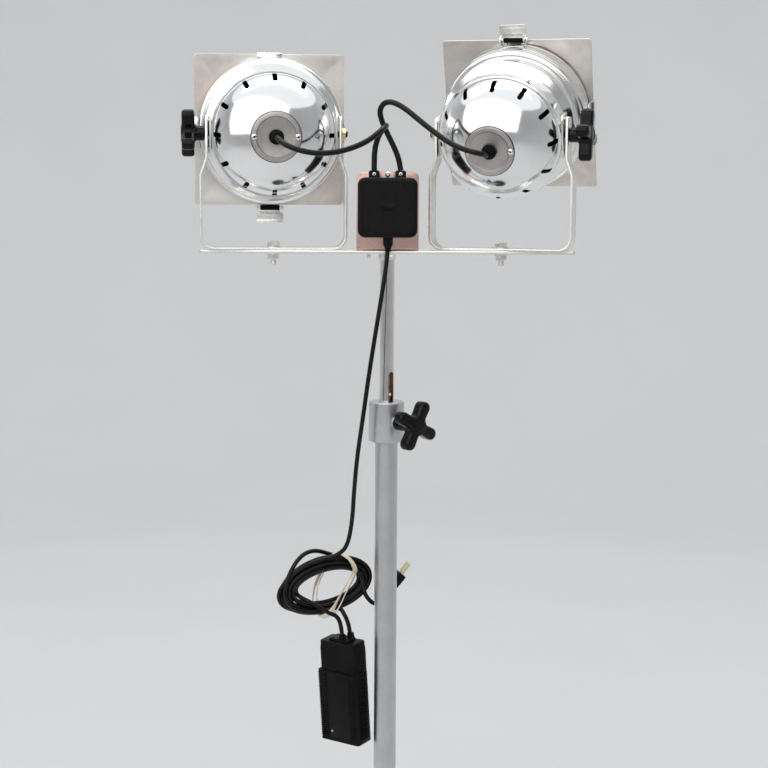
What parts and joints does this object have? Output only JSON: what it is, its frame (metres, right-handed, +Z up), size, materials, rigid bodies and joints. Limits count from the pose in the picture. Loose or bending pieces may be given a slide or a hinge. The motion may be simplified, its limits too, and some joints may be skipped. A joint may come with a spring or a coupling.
{
  "type": "twin-head spotlight on a stand",
  "caption": "Two spun-metal spotlights on yokes, side by side on a cross bar, on a telescopic stand with a clamp knob, junction box, tied cord coil and hanging dimmer.",
  "frame": {"origin": "centre of the base's underside, on the stand tube's axis", "axes": "+Z up; lamps point to +Y, so the junction box and the clamp knob are on the -Y side; +X to the right seen from behind"},
  "size_m": [0.5185, 0.34, 1.4769],
  "materials": {
    "painted_tube": "satin silver-grey paint",
    "black_steel": "satin powder coat",
    "rubber": "matt",
    "cord": "satin flex sheath",
    "band": "matt natural rubber",
    "zinc": "bright zinc plate",
    "chrome": "polished",
    "plastic": "matt moulded",
    "gloss_black": "glossy moulded",
    "grey_plastic": "matt moulded",
    "bar_metal": "satin light grey",
    "bracket_metal": "brushed",
    "mirror_aluminium": "polished, spun",
    "shell_aluminium": "polished",
    "plain_aluminium": "bare, lightly stained",
    "glass": "clear pressed glass",
    "ceramic": "glazed ceramic",
    "brass": "nickel-brass"
  },
  "bodies": {
    "stand": {"base_plate": "black_steel", "base_pad": "rubber", "base_bolt": "zinc", "lower_tube": "painted_tube", "stand_collar": "painted_tube"},
    "clamp": {"clamp_knob": "gloss_black"},
    "mast": {"mast": "chrome", "mast_guide": "grey_plastic", "mast_nut": "zinc", "mast_bolt": "zinc", "cross_bar": "bar_metal", "yoke_bolts": "zinc", "yoke_nuts": "zinc", "box_bracket": "bracket_metal", "box_base": "plastic", "box_cover": "plastic", "cord_clamps": "plastic", "box_screws": "zinc", "terminal_block": "grey_plastic", "main_cord": "cord", "cord_coil": "cord", "rubber_band": "band", "dimmer_lead_in": "cord", "dimmer_lead_out": "cord", "dimmer_body": "plastic", "plug_body": "plastic", "plug_blades": "brass", "left_cord_lower": "cord", "right_cord_lower": "cord"},
    "dimmer_slider": {"dimmer_slider": "plastic"},
    "left_yoke": {"left_yoke": "bar_metal", "left_cord_upper": "cord"},
    "left_head": {"left_dome": "mirror_aluminium", "left_can": "shell_aluminium", "left_front_ring": "shell_aluminium", "left_colour_frame": "plain_aluminium", "left_lens": "glass", "left_lamp_socket": "ceramic", "left_lamp": "glass", "left_back_cover": "plain_aluminium", "left_cord_gland": "rubber", "left_pivot_plates": "zinc", "left_pivot_studs": "zinc"},
    "left_tilt_knob": {"left_tilt_knob": "gloss_black"},
    "left_latch": {"left_latch": "zinc"},
    "right_yoke": {"right_yoke": "bar_metal", "right_cord_upper": "cord"},
    "right_head": {"right_dome": "mirror_aluminium", "right_can": "shell_aluminium", "right_front_ring": "shell_aluminium", "right_colour_frame": "plain_aluminium", "right_lens": "glass", "right_lamp_socket": "ceramic", "right_lamp": "glass", "right_back_cover": "plain_aluminium", "right_cord_gland": "rubber", "right_pivot_plates": "zinc", "right_pivot_studs": "zinc"},
    "right_tilt_knob": {"right_tilt_knob": "gloss_black"},
    "right_latch": {"right_latch": "zinc"}
  },
  "joints": [
    {"name": "clamp_turn", "type": "hinge", "parent": "stand", "child": "clamp", "pos_m": [0, 0, 0.988], "axis": [0.6428, -0.766, 0], "range_deg": [-180, 180]},
    {"name": "mast_slide", "type": "slide", "parent": "stand", "child": "mast", "axis": [0, 0, 1], "range_m": [-0.054, 0.24]},
    {"name": "dimmer_slide", "type": "slide", "parent": "mast", "child": "dimmer_slider", "axis": [-0.0562, -0.0846, 0.9948], "range_m": [0, 0.02]},
    {"name": "left_pan", "type": "hinge", "parent": "mast", "child": "left_yoke", "pos_m": [-0.14, 0, 1.2], "axis": [0, 0, 1], "range_deg": [-35, 50], "deforming": ["left_cord_lower"]},
    {"name": "left_tilt", "type": "hinge", "parent": "left_yoke", "child": "left_head", "pos_m": [-0.14, 0, 1.341], "axis": [0.9936, 0.1132, 0], "range_deg": [-28, 45], "deforming": ["left_cord_upper"]},
    {"name": "left_knob_turn", "type": "hinge", "parent": "left_head", "child": "left_tilt_knob", "pos_m": [-0.14, 0, 1.341], "axis": [-0.9936, -0.1132, 0], "range_deg": [-180, 180]},
    {"name": "left_latch_swing", "type": "hinge", "parent": "left_head", "child": "left_latch", "pos_m": [-0.15026, 0.09005, 1.2491], "axis": [-0.9936, -0.1132, 0], "range_deg": [0, 80]},
    {"name": "right_pan", "type": "hinge", "parent": "mast", "child": "right_yoke", "pos_m": [0.14, 0, 1.2], "axis": [0, 0, 1], "range_deg": [-50, 45], "deforming": ["right_cord_lower"]},
    {"name": "right_tilt", "type": "hinge", "parent": "right_yoke", "child": "right_head", "pos_m": [0.14, 0, 1.341], "axis": [0.9563, -0.2924, 0], "range_deg": [-42, 30], "deforming": ["right_cord_upper"]},
    {"name": "right_knob_turn", "type": "hinge", "parent": "right_head", "child": "right_tilt_knob", "pos_m": [0.14, 0, 1.341], "axis": [0.9563, -0.2924, 0], "range_deg": [-180, 180]},
    {"name": "right_latch_swing", "type": "hinge", "parent": "right_head", "child": "right_latch", "pos_m": [0.15511, 0.04942, 1.45928], "axis": [0.9563, -0.2924, 0], "range_deg": [0, 80]}
  ]
}
